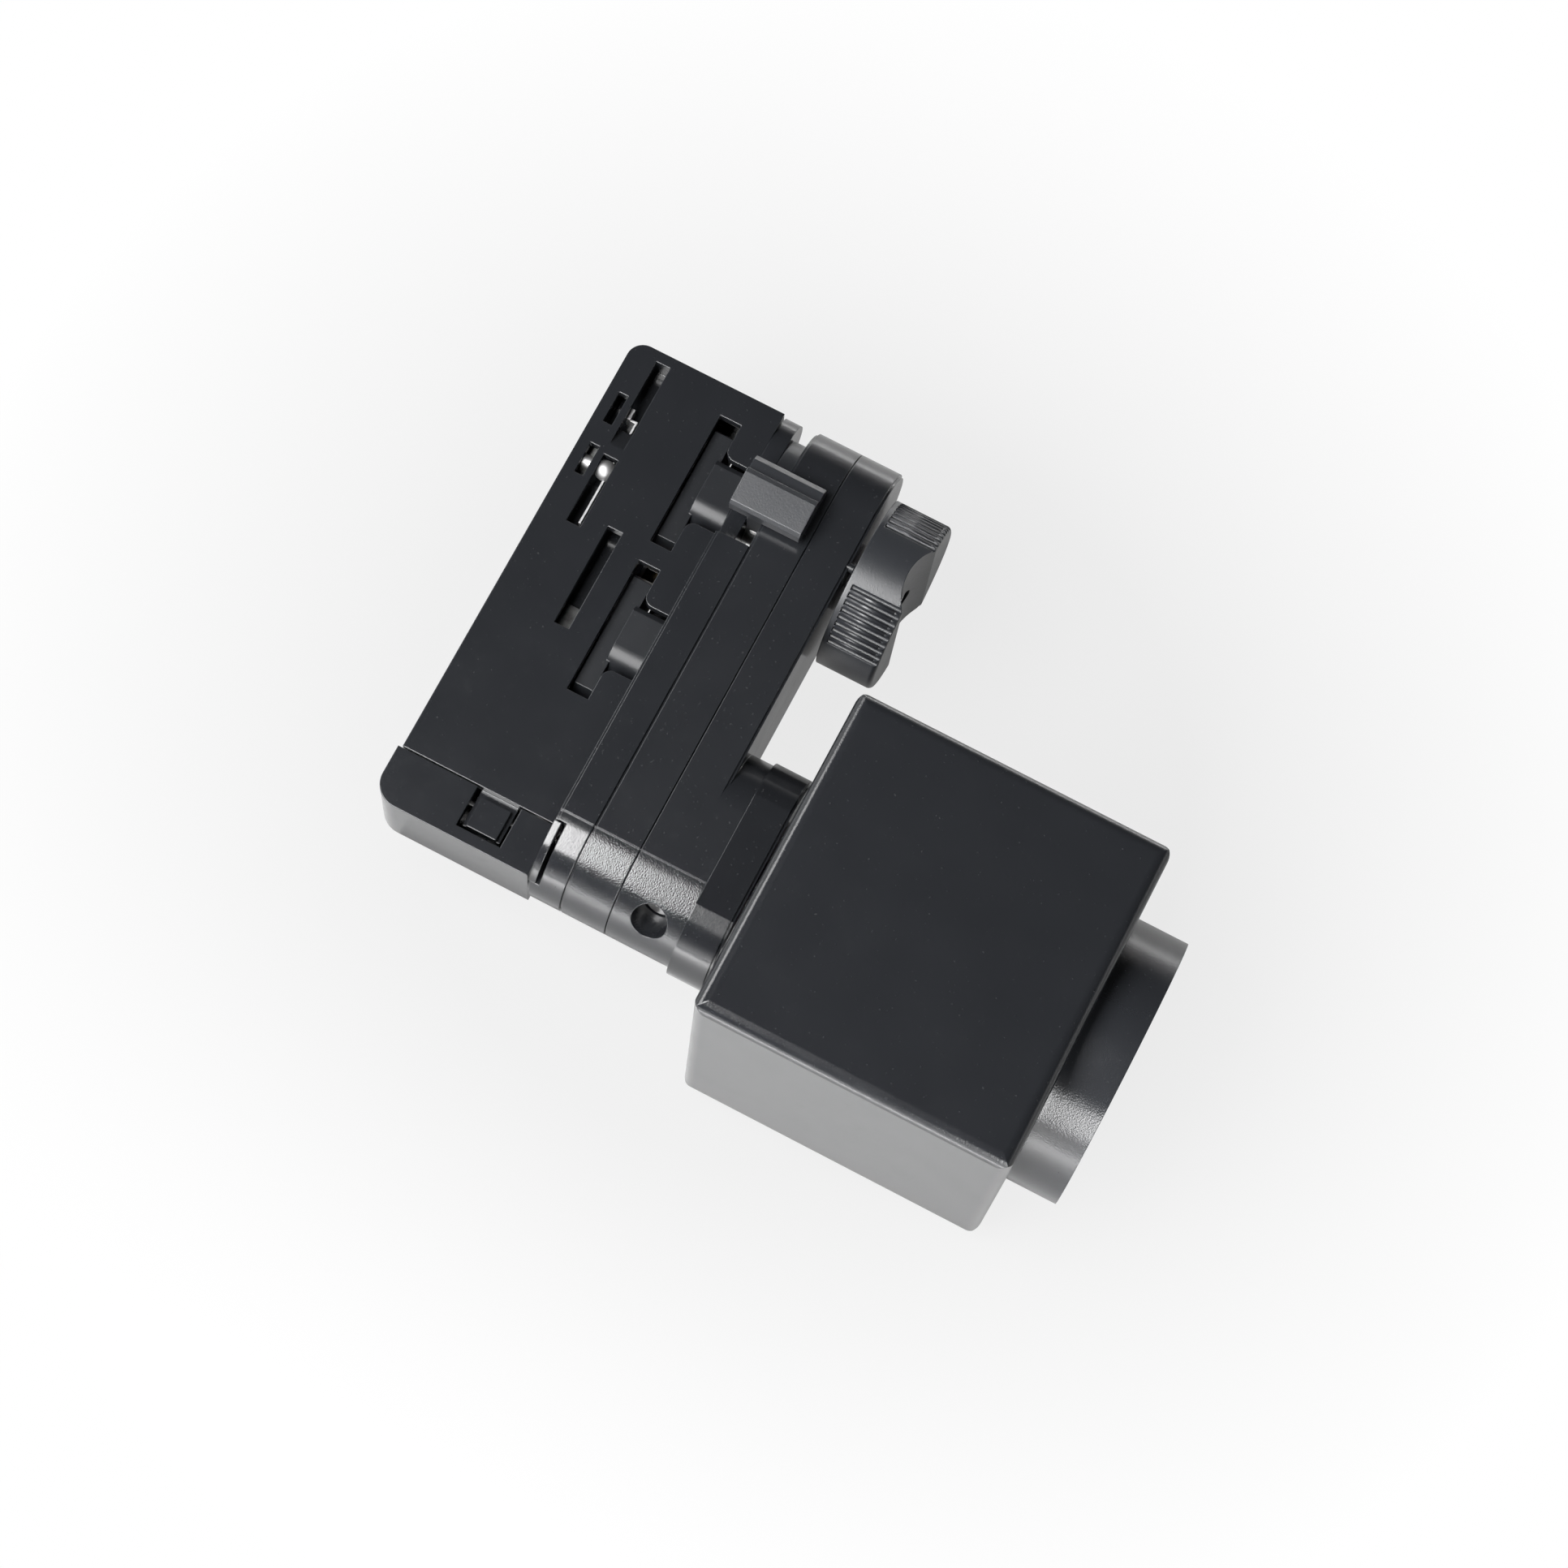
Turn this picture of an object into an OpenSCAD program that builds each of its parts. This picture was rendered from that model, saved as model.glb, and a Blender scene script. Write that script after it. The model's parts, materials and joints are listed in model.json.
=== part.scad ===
// Three-circuit track adapter with a swivelling box head and an earthed two-pin socket.
// X runs along the track towards the knob, Z points up into the track, the swivel axis is X = 0, Y = 0.
// Z = 0 is the shoulder that seats against the underside of the track.

/* [Track part] */
// Distance from the swivel axis to the closed back end of the track part
track_back = 15.9; // [14:0.1:20]
// Thickness of the part that enters the track slot
track_w = 14; // [12:0.1:16]
// Height of the part that enters the track slot
track_h = 25; // [23:0.1:30]
// Distance the track part runs on past the lever axis
nose_len = 9.5; // [8:0.1:14]
// Length of the end cap along the track
cap_len = 8.6; // [8:0.1:11]
// Wall of the frame and the end cap
track_wall = 1.6; // [1.2:0.1:2.2]
// Thickness of the side cover
cover_t = 1.6; // [1.2:0.1:2]
// Corner radius at the upper front corner
nose_r = 2.6; // [1:0.1:4]
// Corner radius at the upper back corner
cap_r = 3.8; // [1:0.1:6]
// Distance the end cap stands out above the cover
cap_over = 0.6; // [0.2:0.1:1]
// Open seam between the end cap and the cover
cap_gap = 0.25; // [0.1:0.05:0.5]

/* [Shoulder and base] */
// Width of the shoulder and the base across the flats
body_w = 22.2; // [20:0.1:26]
// Step from the flat sides in to the rounded back end
back_step = 0.4; // [0.2:0.05:0.8]
// Distance from the swivel axis to the centre of each rounded foot end
foot_half = 5.8; // [5:0.1:8]
// Height of the shoulder flange
flange_h = 5.4; // [4.8:0.1:7]
// Thickness of the rounded nose plate over the lever
nose_t = 2.6; // [2:0.1:3]
// Height of the upper base
upper_h = 7.4; // [6:0.1:10]
// Height of the lower base
lower_h = 6.9; // [6:0.1:10]
// Height of the foot under the lower base
foot_h = 3.8; // [3:0.1:6]
// Height of the neck block
neck_h = 6.1; // [5:0.1:8]
// Distance the neck block's round ends stand out past the flats
neck_step = 0.5; // [0.2:0.05:1]
// Depth of the fine step that draws each seam
seam_step = 0.4; // [0.2:0.05:0.6]

/* [Contact rotors] */
// Distance from the swivel axis to the second rotor
rotor_b_x = 22.7; // [21:0.1:26]
// Distance between the two rotor axes
rotor_pitch = 25.8; // [24:0.1:30]
// Reach of a contact arm from its axis
arm_r = 10.6; // [9.5:0.1:11]
// Room between a contact arm and the walls beside it
arm_room = 0.2; // [0.15:0.05:0.6]
// Thickness of a contact arm
arm_t = 3; // [2.4:0.1:3.2]
// Step from a contact arm's edge in to its drum
drum_step = 0.1; // [0.1:0.05:0.8]
// Height of the contact slots above the shoulder
slot_z = 4.8; // [4:0.1:6]
// Height of the contact slots
slot_h = 3.5; // [3.4:0.1:4.2]
// Width of the window under each contact slot
branch_w = 11.3; // [8:0.1:14]
// Depth of each locking wing's face under the outside of the cover
wing_sink = 0.7; // [0.4:0.1:1.2]
// Edge radius at the back of each locking wing
wing_edge = 3.6; // [2:0.1:4]
// Corner radius between a contact slot and its window
branch_r = 1.5; // [0.6:0.1:2]
// Thickness of the link bar
link_t = 2; // [1.2:0.1:2.4]
// Width of the link bar
link_w = 3.8; // [3.4:0.1:4]

/* [Side windows] */
// Length of the narrow middle slot
mid_slot_len = 16.8; // [12:0.1:20]
// Distance the middle slot starts behind the second rotor's axis
mid_slot_back = 3.1; // [1:0.1:5]
// Distance from the rotor space up to the middle slot
mid_slot_up = 1.4; // [1:0.1:3]
// Height of the narrow middle slot
mid_slot_h = 2.4; // [1.5:0.1:3]
// Length of the long upper slot
long_slot_len = 28.4; // [20:0.1:34]
// Distance from the top of the track part down to the long slot's lower edge
long_slot_down = 6.7; // [6.2:0.1:7.2]
// Distance from the front end to the long slot
long_slot_front = 1.7; // [1.2:0.1:3]
// Height of the long upper slot
long_slot_h = 2.3; // [1.5:0.1:2.6]
// Length of the front stretch of the long slot
slot_a_len = 11.5; // [9:0.1:13]
// Length of the bridge across the long slot
bridge_len = 5.1; // [4:0.1:6]
// Length of the ramp on the bridge
ramp_len = 3.2; // [2:0.1:3.8]
// Length of each small top window
top_window_len = 5.2; // [4:0.1:7]
// Height of each small top window
top_window_h = 1.5; // [1:0.1:1.8]
// Height of the catch behind the end cap window
catch_h = 4.8; // [4:0.1:6]
// Room around the catch in its window
catch_room = 1.2; // [0.8:0.1:2]

/* [Lever] */
// Distance from the knob axis to the lever axis
lever_offset = 6.4; // [6.2:0.1:9]
// Radius of the lever's pivot post
post_r = 2.2; // [1.6:0.1:2.4]
// Radius of the lever's sector plate
sector_r = 8.4; // [7:0.1:10]
// Width of the thumb tab along the body
tab_len = 9; // [7:0.1:12]
// Height of the thumb tab
tab_h = 11.5; // [9:0.1:13]
// Distance the thumb tab stands out from the body
tab_out = 4.3; // [3:0.1:6]

/* [Knob] */
// Radius of the knob over its ribs
knob_r = 13.4; // [12:0.1:15]
// Gap between the base and the knob
knob_gap = 1.1; // [0.9:0.1:1.6]
// Clear height between the knob and the head
knob_over_head = 1.1; // [0.6:0.1:2]
// Radius of the selector shaft
shaft_r = 2.4; // [2:0.1:2.6]
// Radius of one groove between the grip ribs
rib_r = 0.45; // [0.3:0.05:0.6]
// Depth of the finger groove across the knob's end
scoop_depth = 1.9; // [1:0.1:2.4]
// Radius of the finger groove
scoop_r = 9; // [7:0.1:12]
// Edge radius of the knob's end
knob_edge = 0.8; // [0.4:0.1:1.2]

/* [Head] */
// Side of the square head
box_side = 52; // [48:0.1:60]
// Height of the head
box_h = 49.3; // [46:0.1:60]
// Edge radius of the head
box_r = 2; // [1:0.1:3]
// Wall of the head
box_wall = 2.2; // [1.8:0.1:3]
// Thickness of the head's lid
lid_t = 2; // [1.6:0.1:3]
// Gap between the neck block and the head
swivel_gap = 1.4; // [1.2:0.1:2]
// Radius of the swivel disc
disc_r = 10.4; // [9:0.1:11]
// Radius of the hollow nipple
nipple_r = 5; // [4.5:0.1:5.5]
// Radius of the wire bore in the nipple
nipple_bore_r = 3.6; // [3.3:0.1:4]
// Length of the set screw in the foot
set_screw_len = 6; // [4:0.1:8]
// Radius of the set screw in the foot
set_screw_r = 2.5; // [2:0.1:3]
// Angle of the set screw from the back end, towards the front cover
set_screw_angle = 27; // [15:1:40]

/* [Socket] */
// Outer radius of the collar
collar_r = 21; // [20.6:0.1:22]
// Distance the collar stands out of the head
collar_h = 8.1; // [6:0.1:12]
// Radius of the plug recess
recess_r = 19.5; // [19:0.1:20]
// Depth of the plug recess
recess_depth = 17.5; // [16:0.1:19]
// Distance between the two pin holes
pin_pitch = 19; // [18.5:0.1:19.5]
// Radius of a pin hole
pin_hole_r = 2.6; // [2.5:0.05:2.8]
// Thickness of the recess floor
recess_floor = 3; // [2.5:0.1:4]
// Height of the core behind the recess floor
core_h = 9; // [7:0.1:12]
// Width of the earth clips
clip_w = 4.6; // [3.5:0.1:6]
// Thickness of the earth clip sheet
clip_t = 0.8; // [0.6:0.05:1]

/* [Fits] */
// Running clearance round shafts and pins
run_clear = 0.1; // [0.05:0.01:0.15]
// Clearance between pieces that pass each other
pass_clear = 0.3; // [0.2:0.05:0.4]
// Clearance between fixed pieces
seat_clear = 0.05; // [0.02:0.01:0.1]

/* [Hidden] */
$fn = 64;

// Small screws that hold the pieces together
small_screw_r = 1.2;
small_head_r = 2.2;
small_head_h = 1.4;
small_room = 0.2;
cross_len = 2.4;
cross_w = 0.6;
cross_deep = 0.7;

// Sprung metal contacts behind the windows
strip_t = 0.5;
line_t = 0.7;
line_len = 6;
line_back = 1.5;
dome_r = 1.6;
dome_sink = 0.1;
edge_out = 0.5;
edge_t = 0.35;
edge_up = 0.55;
edge_short = 1.2;
heel_back = 9.5;
heel_len = 1.8;
heel_h = 0.6;
bump_r = 1.1;

// Stack of levels from the shoulder down
z_flange = -flange_h;
z_upper = z_flange - upper_h;
z_lower = z_upper - lower_h;
z_foot = z_lower - foot_h;
z_neck = z_foot - neck_h;
z_box = z_neck - swivel_gap;
z_lid = z_box - lid_t;
z_floor = z_box - box_h;
z_rim = z_floor - collar_h;
z_recess = z_rim + recess_depth;
z_core = z_recess + recess_floor + core_h;

// Axes along the track
knob_x = rotor_b_x + rotor_pitch;
lever_x = knob_x + lever_offset;
front_x = lever_x + nose_len;
back_x = -track_back;
seam_x = back_x + cap_len;
notch_x = knob_x - lever_offset;
half_w = body_w / 2;
back_r = half_w - back_step;
neck_r = half_w + neck_step;
lip_t = 1.1;
lip_gap = 0.7;
lip_in = 4;
half_track = track_w / 2;
nose_cx = lever_x + half_w - half_track;

// Inside of the track part
cover_y = cover_t - half_track;
rear_y = half_track - track_wall;
bay_deep = 2.6;
bay_y = cover_y + bay_deep;
ceiling_z = track_h - track_wall;
arm_z = slot_z + (slot_h - arm_t) / 2;
link_z = arm_z + arm_t + pass_clear;
core_z = link_z + link_t + 2 * pass_clear;
mid_slot_z = core_z + mid_slot_up;
mid_slot_x = rotor_b_x - mid_slot_back;
long_slot_z = track_h - long_slot_down;
long_slot_x = front_x - long_slot_front - long_slot_len;
bridge_front = front_x - long_slot_front - slot_a_len;
bridge_back = bridge_front - bridge_len;
top_web = 0.2;
top_window_z = ceiling_z - top_web - top_window_h;
top_window_backs = [8.6, 17.6];
arm_w = 2 * (half_track - max(cover_t, track_wall) - arm_room);
drum_r = arm_w / 2 - drum_step;
arm_top = arm_z + arm_t;
wing_y = wing_sink - half_track;
wing_half = min(drum_r, branch_w / 2 - pass_clear);
wing_r = sqrt(pow(branch_w / 2 - pass_clear, 2) + pow(cover_y, 2));
bore_top = arm_top - 1;
tip_from = arm_r - 2.2;
tip_w = arm_w / 2;
slot_half = arm_r + 2 * pass_clear;
crank_angle = 45;
crank_r = (arm_w - link_w) / 2 - 0.1;
pin_r = 1;
pivot_r = 1.5;

// Catch that holds the end cap
catch_t = 1.2;
catch_z = slot_z + catch_room + 0.6;
catch_x = back_x + track_wall + 1;
catch_len = cap_len - track_wall - 1 - catch_room;
tongue_low = catch_z - 0.6;
tongue_high = catch_z + catch_h + 0.6;

// Lever and knob
lever_lift = 0.2;
hub_r = post_r + 1.3;
tab_in = half_w + pass_clear;
tab_front = lever_x - 0.4;
knob_top = z_lower - knob_gap;
knob_end = z_box + knob_over_head;
hub_gap = pass_clear;
rib_step = 5.2;
ribs_per_zone = 9;
rib_zones = 4;
screw_floor = 1;
screw_sink = scoop_depth + small_head_h + small_room;
knob_screw_len = 5;
zone_angle = 360 / rib_zones;
first_zone = -134;
scoop_angle = first_zone + zone_angle / 2;

// Nipple, nuts and wires
nut_r = nipple_r + 3.2;
nut_h = 3;
nipple_top = z_upper + nut_h + 0.8;
washer_t = 0.6;
nipple_end = z_lid - washer_t - nut_h - 1.5;
wire_r = 1.1;
wire_ring = nipple_bore_r - wire_r - pass_clear;
wire_hole_r = nipple_bore_r + 0.4;
set_z = (z_upper + z_foot) / 2 - 0.4;

// Head and socket
half_box = box_side / 2;
lid_half = half_box - box_wall - 1.3;
cavity_half = half_box - box_wall;
boss_r = 3.2;
boss_xy = cavity_half - boss_r - 1.2;
lid_corners = [[1, 1], [-1, -1]];
socket_corners = [[1, -1], [-1, 1]];
flange_t = 2.5;
base_screw_in = 4;
base_screw_sink = 0.6;
base_screw_reach = 3;
base_screw_out = foot_half + back_r - base_screw_in;
base_screw_z = z_foot + small_head_h + base_screw_sink;
base_screw_len = z_upper + base_screw_reach - base_screw_z;
lid_screw_len = 6;
sleeve_wall = 1;
sleeve_r = pin_hole_r + sleeve_wall;
sleeve_up = 2;
terminal_len = 2.4;
pin_lead = 0.2;
post_wall = 1.6;
clip_stand = 1;
clip_in = recess_r - clip_stand - clip_t;
clip_rim = 2.5;
z_back = z_recess + recess_floor;

// Solid box between two corners
module block(low, high) {
    translate(low) cube(high - low);
}

// Upright cylinder between two levels
module rod(x, y, r, z0, z1) {
    translate([x, y, z0]) cylinder(r = r, h = z1 - z0);
}

// Outline drawn in X and Z, given a thickness along Y
module upright(y0, y1) {
    translate([0, y1, 0]) rotate([90, 0, 0]) linear_extrude(y1 - y0) children();
}

// Piece of a square corner that lies outside its radius
module corner_waste(r) {
    difference() {
        square(r + 1);
        circle(r);
    }
}

// Side view of the track part ahead of the end cap
module track_side() {
    difference() {
        translate([seam_x, 0]) square([front_x - seam_x, track_h]);
        translate([front_x - nose_r, track_h - nose_r]) corner_waste(nose_r);
    }
}

// Plan of the base: flat sides, a full round front and a slightly sunk round back
module base_plan(inset = 0) {
    translate([-foot_half, inset - half_w]) square([foot_half + lever_x, body_w - 2 * inset]);
    translate([lever_x, 0]) circle(half_w - inset);
    translate([-foot_half, 0]) circle(back_r - inset);
}

// Plan with two round ends and flats across the body width
module foot_plan(r, inset = 0) {
    intersection() {
        union() {
            for (side = [-1, 1]) translate([side * foot_half, 0]) circle(r - inset);
            translate([-foot_half, inset - r]) square([2 * foot_half, 2 * (r - inset)]);
        }
        translate([-2 * r, inset - half_w]) square([4 * r, body_w - 2 * inset]);
    }
}

// Plan of the foot, flush with the base at its sides and its back
module foot_flush() {
    translate([-foot_half, 0]) circle(back_r);
    translate([foot_half, 0]) circle(half_w);
    translate([-foot_half, -half_w]) square([2 * foot_half, body_w]);
}

// Pan-head screw that points up or down from its seat
module small_screw(shank, up = true) {
    mirror([0, 0, up ? 0 : 1]) {
        cylinder(r = small_screw_r, h = shank);
        translate([0, 0, -small_head_h]) difference() {
            cylinder(r = small_head_r, h = small_head_h);
            for (turn = [0, 90])
                rotate(turn) cube([cross_len, cross_w, 2 * cross_deep], center = true);
        }
    }
}

// Hexagon nut on the nipple
module hex_nut(z0) {
    difference() {
        translate([0, 0, z0]) cylinder(r = nut_r, h = nut_h, $fn = 6);
        rod(0, 0, nipple_r + seat_clear, z0 - 1, z0 + nut_h + 1);
    }
}

// Slot and the window below it, as seen from the side
module rotor_window(x) {
    translate([x - slot_half, slot_z]) square([2 * slot_half, slot_h]);
    translate([x - branch_w / 2, -1]) square([branch_w, slot_z + 2]);
    for (side = [-1, 1]) translate([x, slot_z - branch_r]) mirror([side > 0 ? 0 : 1, 0])
        translate([branch_w / 2 + branch_r, 0]) mirror([1, 0]) corner_waste(branch_r);
}

// Shoulder flange, rear wall, ceiling and contact shelf in one moulding
module track_frame() {
    color("#262629") difference() {
        union() {
            upright(cover_y, half_track) track_side();
            translate([0, 0, z_flange]) linear_extrude(flange_h - seam_step) intersection() {
                base_plan();
                translate([-track_back - back_r, -body_w]) square([track_back + back_r + notch_x, 2 * body_w]);
            }
            translate([0, 0, z_flange]) linear_extrude(flange_h) intersection() {
                base_plan(seam_step);
                translate([-track_back - back_r, -body_w]) square([track_back + back_r + notch_x, 2 * body_w]);
            }
            translate([0, 0, -nose_t]) linear_extrude(nose_t) {
                translate([notch_x - 1, -half_track]) square([nose_cx - notch_x + 1, track_w]);
                translate([nose_cx, 0]) circle(half_track);
            }
        }
        block([seam_x + track_wall, cover_y - 1, 0], [front_x - track_wall, rear_y, core_z]);
        block([seam_x + track_wall, cover_y - 1, core_z - 1], [front_x - track_wall, bay_y, ceiling_z]);
        for (x = [rotor_b_x, knob_x])
            block([x - slot_half, 0, arm_z - run_clear], [x + slot_half, track_w, arm_top + run_clear]);
        rod(knob_x, 0, shaft_r + run_clear, z_flange - 1, 1);
        rod(0, 0, wire_hole_r, z_flange - 1, 1);
        lip_space();
        block([seam_x - 1, cover_y - 1, tongue_low - seat_clear],
              [seam_x + track_wall + 1, cover_y + catch_t + 2 * seat_clear, tongue_high + seat_clear]);
    }
    color("#262629") rod(rotor_b_x, 0, pivot_r, -seam_step, bore_top - pass_clear);
}

// Room for the lip under the end cap, with the open gap below it
module lip_space() {
    block([-2 * track_back - back_r, -body_w, -lip_t - lip_gap], [seam_x, -lip_in, track_h]);
}

// Cover with the contact windows and the catch that holds the end cap
module side_cover() {
    color("#2b2b2e") difference() {
        union() {
            upright(-half_track, cover_y) track_side();
            block([catch_x, cover_y + seat_clear, tongue_low], [seam_x + track_wall, cover_y + catch_t, tongue_high]);
            block([seam_x, cover_y - 1, tongue_low], [seam_x + track_wall, cover_y + catch_t, tongue_high]);
            block([catch_x, 0.7 - half_track, catch_z], [catch_x + catch_len, cover_y + 1, catch_z + catch_h]);
        }
        upright(-track_w, cover_y + seat_clear / 2) {
            rotor_window(knob_x);
            rotor_window(rotor_b_x);
            translate([mid_slot_x, mid_slot_z]) square([mid_slot_len, mid_slot_h]);
            translate([long_slot_x, long_slot_z]) square([bridge_back - long_slot_x, long_slot_h]);
            translate([bridge_front, long_slot_z]) square([slot_a_len, long_slot_h]);
            for (back = top_window_backs)
                translate([front_x - back - top_window_len, top_window_z]) square([top_window_len, top_window_h]);
        }
        translate([bridge_front, -half_track, long_slot_z]) linear_extrude(long_slot_h)
            polygon([[0.1, cover_t], [0.1, -1], [-ramp_len * (1 + 1 / cover_t), -1], [0, cover_t]]);
    }
}

// Cap over the back end with the window for the catch and a rounded lip
module end_cap() {
    color("#29292c") difference() {
        union() {
            upright(-half_track, half_track) difference() {
                translate([back_x, 0]) square([cap_len - cap_gap, track_h + cap_over]);
                translate([back_x + cap_r, track_h + cap_over - cap_r]) mirror([1, 0]) corner_waste(cap_r);
            }
            translate([0, 0, -lip_t]) linear_extrude(lip_t) intersection() {
                translate([-foot_half, 0]) circle(back_r);
                translate([back_x, -body_w]) square([cap_len - cap_gap, body_w - lip_in - seat_clear]);
            }
        }
        block([back_x + track_wall, cover_y, track_wall], [seam_x + 1, rear_y, ceiling_z]);
        block([catch_x - 0.8, -track_w, catch_z - catch_room],
              [seam_x + 1, cover_y + 1, catch_z + catch_h + catch_room]);
    }
}

// Upper base with the post that the lever turns on
module base_upper() {
    color("#27272a") difference() {
        union() {
            translate([0, 0, z_upper]) linear_extrude(upper_h - seam_step) base_plan();
            translate([0, 0, z_upper]) linear_extrude(upper_h) base_plan(seam_step);
            rod(lever_x, 0, post_r, z_flange - seam_step, -nose_t);
        }
        rod(knob_x, 0, shaft_r + run_clear, z_upper - 1, z_flange + 1);
        rod(0, 0, wire_hole_r, z_upper - 1, z_flange + 1);
        rod(0, 0, nut_r + 0.2, z_upper - 1, nipple_top + 0.3);
        for (side = [-1, 1])
            base_screw_place(side) cylinder(r = small_screw_r + seat_clear, h = base_screw_len + 0.5);
    }
}

// Place of one of the two screws in the base
module base_screw_place(side) {
    translate([side * base_screw_out, 0, base_screw_z]) children();
}

// Lower base and foot in one moulding, bored for the nipple
module base_lower() {
    color("#27272a") difference() {
        union() {
            translate([0, 0, z_lower + seam_step]) linear_extrude(lower_h - 1.5 * seam_step) base_plan();
            translate([0, 0, z_lower]) linear_extrude(lower_h) base_plan(seam_step);
            translate([0, 0, z_foot]) linear_extrude(foot_h + lower_h / 2) foot_flush();
            rod(knob_x - 2, 1 - half_w, 0.7, knob_top + pass_clear, z_lower + seam_step);
        }
        rod(0, 0, nipple_r + seat_clear, z_foot - 1, z_upper + 1);
        rod(knob_x, 0, shaft_r + run_clear, z_lower - 1, z_upper + 1);
        set_screw_place(nipple_r) cylinder(r = set_screw_r + 0.25, h = 2 * back_r);
        for (side = [-1, 1]) base_screw_place(side) {
            translate([0, 0, -5]) cylinder(r = small_head_r + 0.2, h = 5);
            cylinder(r = small_screw_r + seat_clear, h = base_screw_len);
        }
    }
}

// Axis of the set screw, starting at a distance from the nipple's axis
module set_screw_place(start) {
    translate([0, 0, set_z]) rotate([0, 0, 180 + set_screw_angle]) rotate([0, 90, 0])
        translate([0, 0, start]) children();
}

// Block between the foot and the swivel disc
module neck_block() {
    color("#232326") difference() {
        union() {
            translate([0, 0, z_neck + seam_step]) linear_extrude(neck_h - seam_step) foot_plan(neck_r);
            translate([0, 0, z_neck]) linear_extrude(neck_h) foot_plan(neck_r, seam_step);
        }
        rod(0, 0, nipple_r + seat_clear, z_neck - 1, z_foot + 1);
    }
}

// Two screws that hold the lower base to the upper base
module base_screws() {
    color("#5f6063") for (side = [-1, 1]) base_screw_place(side) small_screw(base_screw_len);
}

// Screw that locks the nipple in the foot
module set_screw() {
    key_depth = 2;
    key_r = set_screw_r - 1.1;
    color("#4c4d50") set_screw_place(nipple_r + seat_clear) difference() {
        cylinder(r = set_screw_r, h = set_screw_len);
        translate([0, 0, set_screw_len - key_depth]) cylinder(r = key_r, h = key_depth + 1, $fn = 6);
    }
}

// Threaded tube that carries the head and the wires
module hollow_nipple() {
    color("#a7a8a6") difference() {
        rod(0, 0, nipple_r, nipple_end, nipple_top);
        rod(0, 0, nipple_bore_r, nipple_end - 1, nipple_top + 1);
    }
}

// Nut that holds the nipple in the lower base
module nipple_nut() {
    color("#b5a15c") hex_nut(z_upper);
}

// Nut that keeps the head on the nipple
module swivel_nut() {
    color("#b5a15c") hex_nut(z_lid - pass_clear - washer_t - nut_h);
}

// Washer between the swivel nut and the lid
module friction_washer() {
    color("#d8d6cf") difference() {
        rod(0, 0, nut_r + 1, z_lid - pass_clear - washer_t, z_lid - pass_clear);
        rod(0, 0, nipple_r + seat_clear, z_lid - 2, z_lid + 1);
    }
}

// Three wires from the track part through the nipple into the head
module supply_wires() {
    names = ["#6b4a2f", "#3a5f9e", "#7f9a3c"];
    for (i = [0:2]) color(names[i]) rotate(120 * i) rod(wire_ring, 0, wire_r, z_core + 4, slot_z);
}

// Flat contact behind the back end of the middle slot
module line_contact() {
    low = [mid_slot_x - line_back, bay_y - line_t, mid_slot_z - seat_clear];
    color("#b9b6ad") block(low, low + [line_len, line_t, mid_slot_h + 2 * seat_clear]);
}

// Sprung contact behind the long slot: a strip on edge, a dome and a heel
module neutral_contact() {
    dome_x = bridge_back - dome_r - 2 * seat_clear;
    edge_z = long_slot_z + edge_up;
    heel_x = front_x - long_slot_front - heel_back;
    heel_z = long_slot_z + long_slot_h - heel_h;
    color("#c4c3be") union() {
        block([long_slot_x + edge_short, cover_y + edge_out, edge_z], [heel_x + edge_t, bay_y, edge_z + edge_t]);
        intersection() {
            translate([dome_x, dome_sink - half_track + dome_r, long_slot_z + long_slot_h / 2]) sphere(r = dome_r);
            block([dome_x - 2 * dome_r, -half_track, long_slot_z + seat_clear],
                  [dome_x + 2 * dome_r, bay_y, long_slot_z + long_slot_h - seat_clear]);
        }
        block([heel_x, cover_y + edge_out, edge_z], [heel_x + edge_t, bay_y, heel_z + heel_h - seat_clear]);
        block([heel_x, cover_y + seat_clear, heel_z], [heel_x + heel_len, bay_y, heel_z + heel_h - seat_clear]);
    }
}

// Earth contact behind the second small window, with a rounded bump
module earth_contact() {
    x0 = front_x - top_window_backs[1] - top_window_len;
    low_z = top_window_z + seat_clear;
    high_z = top_window_z + top_window_h - seat_clear;
    bump_x = x0 + 0.55 * top_window_len;
    color("#c4c3be") union() {
        block([bump_x - bump_r, bay_y - strip_t, low_z], [x0 + top_window_len + bump_r, bay_y, high_z]);
        block([bump_x - bump_r, cover_y + bump_r / 2, low_z], [bump_x + bump_r, bay_y, high_z]);
        rod(bump_x, cover_y + bump_r / 2, bump_r, low_z, high_z);
    }
}

// Locking lever: hub on the post, sector plate, arm and thumb tab
module lock_lever() {
    low = z_flange + lever_lift;
    high = -nose_t - lever_lift;
    out = tab_in + tab_out;
    back = tab_front - tab_len;
    color("#4b4c50") difference() {
        union() {
            translate([0, 0, low]) linear_extrude(high - low) {
                translate([lever_x, 0]) circle(hub_r);
                intersection() {
                    translate([lever_x, 0]) circle(sector_r);
                    translate([lever_x - 2.6, -2 * sector_r]) square([4 * sector_r, 2 * sector_r]);
                }
                translate([back + 1.2, -tab_in - 1]) square([tab_len - 2.8, tab_in - shaft_r - 1]);
            }
            translate([0, 0, -lever_lift - tab_h]) linear_extrude(tab_h) polygon([
                [tab_front, -tab_in],
                [tab_front, -out + 2.6],
                [tab_front - 1, -out + 1.6],
                [tab_front - 2.6, -out + 1.4],
                [tab_front - 3, -out + 0.4],
                [tab_front - 3.8, -out],
                [back + 0.5, -out + 0.7],
                [back, -out + 1.3],
                [back, -tab_in - 1.2],
                [back + 1, -tab_in]
            ]);
        }
        rod(lever_x, 0, post_r + run_clear, low - 1, high + 1);
    }
}

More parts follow.
